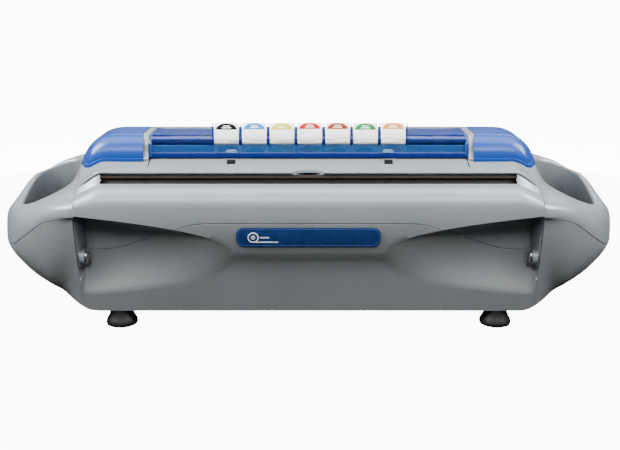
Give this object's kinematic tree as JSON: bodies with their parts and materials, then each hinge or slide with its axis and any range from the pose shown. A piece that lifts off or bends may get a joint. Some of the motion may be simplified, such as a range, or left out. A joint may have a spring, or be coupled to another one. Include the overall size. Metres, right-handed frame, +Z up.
{
  "type": "cling film dispenser",
  "caption": "Hull-shaped counter film dispenser with end handles, finger scoops, a tipping lid, a covered label tray and suction feet.",
  "frame": {"origin": "on the counter under the middle of the body", "axes": "+X to the user's right along the body, -Y towards the user, +Z up"},
  "size_m": [0.74, 0.2273, 0.2355],
  "materials": {
    "silver_plastic": "satin",
    "blue_clear": "clear polished",
    "black_rubber": "matte",
    "steel": "polished",
    "white_nylon": "matte",
    "label_paper": "matte",
    "film": "gloss",
    "cardboard": "matte",
    "navy_plate": "gloss"
  },
  "bodies": {
    "base": {"base_shell": "silver_plastic", "suction_foot_front_left": "black_rubber", "suction_foot_front_right": "black_rubber", "suction_foot_rear_left": "black_rubber", "suction_foot_rear_right": "black_rubber", "roll_cradle_left": "silver_plastic", "roll_cradle_right": "silver_plastic", "cradle_screw_front_left": "steel", "cradle_screw_rear_left": "steel", "cradle_screw_front_right": "steel", "cradle_screw_rear_right": "steel", "lid_pivot_screw_left": "steel", "lid_pivot_screw_right": "steel", "badge_plate": "navy_plate"},
    "lid": {"lid_shell": "silver_plastic", "end_dome_left": "blue_clear", "end_dome_right": "blue_clear", "cutter_bar": "steel", "cutter_blade": "steel", "label_tray": "blue_clear", "label_rod": "blue_clear", "label_spindle": "white_nylon", "tray_clip_left": "black_rubber", "tray_clip_right": "black_rubber", "cover_pin_left": "steel", "cover_pin_right": "steel", "label_strip_1": "label_paper", "label_strip_2": "label_paper", "label_strip_3": "label_paper", "label_strip_4": "label_paper", "label_strip_5": "label_paper", "label_strip_6": "label_paper", "label_strip_7": "label_paper"},
    "label_cover": {"label_cover": "blue_clear"},
    "film_roll": {"roll_core": "cardboard", "film_wind": "film", "roll_hub_left": "white_nylon", "roll_hub_right": "white_nylon"},
    "label_roll_1": {"label_roll_1": "label_paper"},
    "label_roll_2": {"label_roll_2": "label_paper"},
    "label_roll_3": {"label_roll_3": "label_paper"},
    "label_roll_4": {"label_roll_4": "label_paper"},
    "label_roll_5": {"label_roll_5": "label_paper"},
    "label_roll_6": {"label_roll_6": "label_paper"},
    "label_roll_7": {"label_roll_7": "label_paper"}
  },
  "joints": [
    {"name": "lid_tip", "type": "hinge", "parent": "base", "child": "lid", "pos_m": [0, -0.092, 0.088], "axis": [1, 0, 0], "range_deg": [0, 80]},
    {"name": "label_cover_open", "type": "hinge", "parent": "lid", "child": "label_cover", "pos_m": [0, 0.048, 0.203], "axis": [-1, 0, 0], "range_deg": [0, 95]},
    {"name": "film_roll_turn", "type": "hinge", "parent": "base", "child": "film_roll", "pos_m": [0, 0.005, 0.082], "axis": [1, 0, 0], "continuous": true},
    {"name": "label_roll_1_turn", "type": "hinge", "parent": "lid", "child": "label_roll_1", "pos_m": [-0.09467, -0.008, 0.182], "axis": [1, 0, 0], "continuous": true},
    {"name": "label_roll_2_turn", "type": "hinge", "parent": "lid", "child": "label_roll_2", "pos_m": [-0.06259, -0.008, 0.182], "axis": [1, 0, 0], "continuous": true},
    {"name": "label_roll_3_turn", "type": "hinge", "parent": "lid", "child": "label_roll_3", "pos_m": [-0.03053, -0.008, 0.182], "axis": [1, 0, 0], "continuous": true},
    {"name": "label_roll_4_turn", "type": "hinge", "parent": "lid", "child": "label_roll_4", "pos_m": [0.00155, -0.008, 0.182], "axis": [1, 0, 0], "continuous": true},
    {"name": "label_roll_5_turn", "type": "hinge", "parent": "lid", "child": "label_roll_5", "pos_m": [0.03361, -0.008, 0.182], "axis": [1, 0, 0], "continuous": true},
    {"name": "label_roll_6_turn", "type": "hinge", "parent": "lid", "child": "label_roll_6", "pos_m": [0.06568, -0.008, 0.182], "axis": [1, 0, 0], "continuous": true},
    {"name": "label_roll_7_turn", "type": "hinge", "parent": "lid", "child": "label_roll_7", "pos_m": [0.09776, -0.008, 0.182], "axis": [1, 0, 0], "continuous": true}
  ]
}
